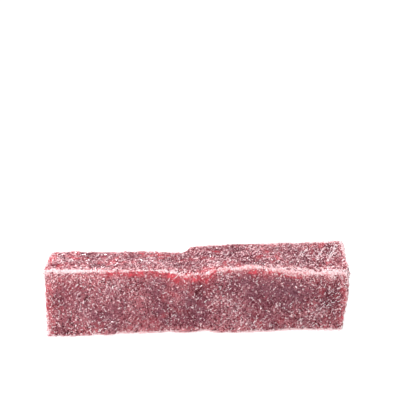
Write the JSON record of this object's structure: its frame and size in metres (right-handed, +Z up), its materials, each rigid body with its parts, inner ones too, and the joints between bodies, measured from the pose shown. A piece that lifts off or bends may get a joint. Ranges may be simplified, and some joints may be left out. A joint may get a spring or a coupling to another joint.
{
  "type": "hawthorn fruit strip",
  "caption": "Finger-long bar of dried hawthorn paste with cut ends and rough, sugared faces, lying on a narrow side.",
  "frame": {"origin": "middle of the bounding box on the flat underside", "axes": "+X along the bar, +Y from the front face to the back face, +Z up"},
  "size_m": [0.0716, 0.014, 0.0178],
  "materials": {
    "fruit_paste": "dark red, dull and slightly see-through",
    "sugar": "small clear and frosted crystals"
  },
  "bodies": {
    "root": {"strip": "fruit_paste"}
  },
  "joints": []
}
